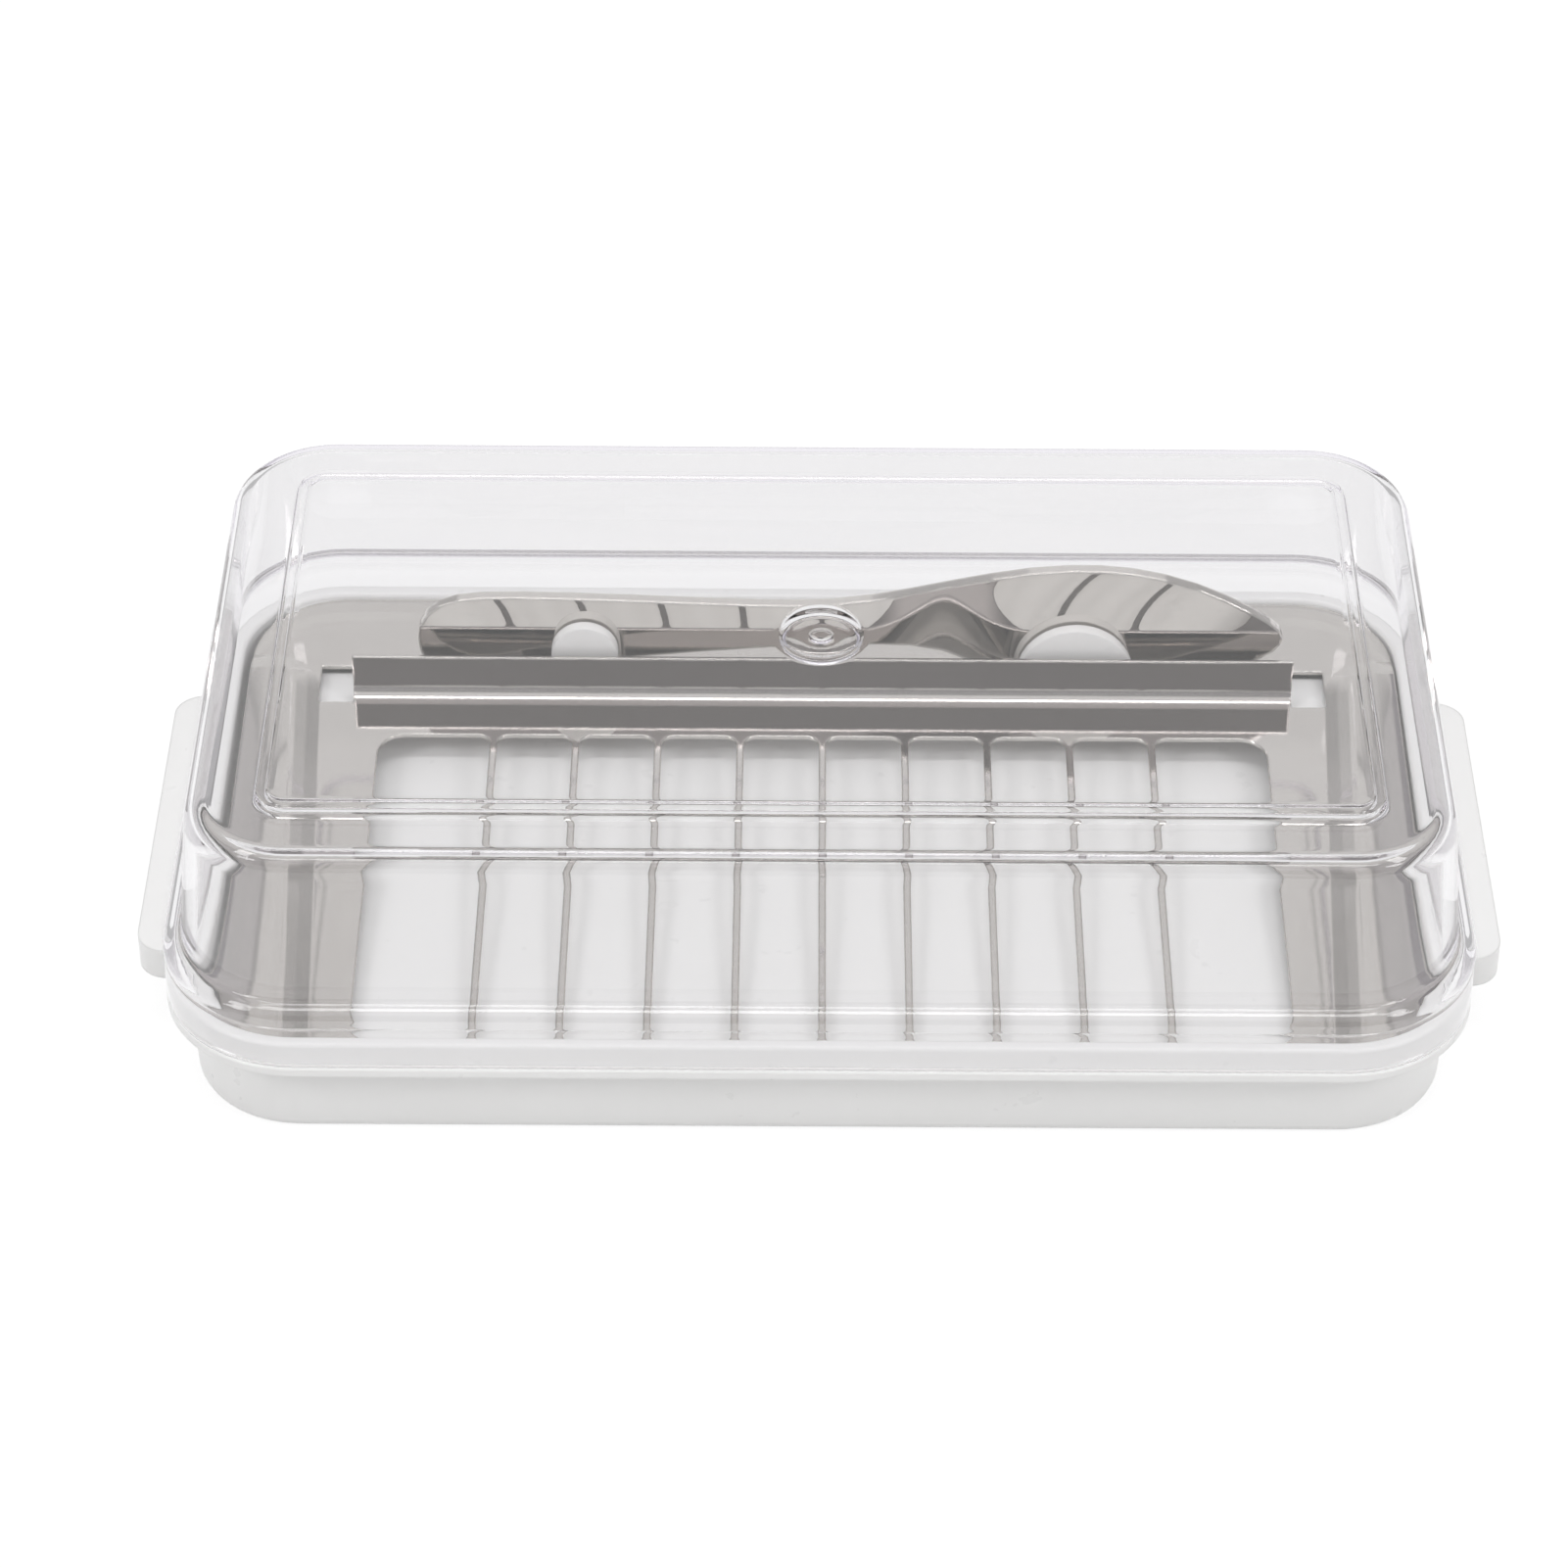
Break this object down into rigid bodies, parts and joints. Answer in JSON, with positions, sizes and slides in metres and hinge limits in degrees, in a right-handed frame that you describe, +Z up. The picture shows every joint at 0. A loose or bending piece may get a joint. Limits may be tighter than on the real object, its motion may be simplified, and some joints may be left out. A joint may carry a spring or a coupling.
{
  "type": "wire butter slicer",
  "caption": "Butter case with a white eared tray, a slotted mirror-steel plate that slices butter into pats, a steel butter knife stored on edge and a clear lift-off lid.",
  "frame": {"origin": "middle of the footprint, on the surface that the case stands on", "axes": "+X to the right along the long side, the front faces -Y, +Z up"},
  "size_m": [0.2, 0.114, 0.0501],
  "materials": {
    "tray": "smooth white moulding, satin to gloss",
    "plate_steel": "mirror-polished stainless sheet",
    "knife_steel": "mirror-polished stainless steel",
    "lid": "clear glossy moulding"
  },
  "bodies": {
    "tray_body": {"tray": "tray"},
    "plate_body": {"slicing_plate": "plate_steel"},
    "knife_body": {"butter_knife": "knife_steel"},
    "lid_body": {"lid": "lid"}
  },
  "joints": [
    {"name": "lid_lift", "type": "slide", "parent": "tray_body", "child": "lid_body", "axis": [0, 0, 1], "range_m": [0, 0.07]},
    {"name": "plate_lift", "type": "slide", "parent": "tray_body", "child": "plate_body", "axis": [0, 0, 1], "range_m": [0, 0.008]},
    {"name": "knife_lift", "type": "slide", "parent": "tray_body", "child": "knife_body", "axis": [0, 0, 1], "range_m": [0, 0.008]}
  ]
}
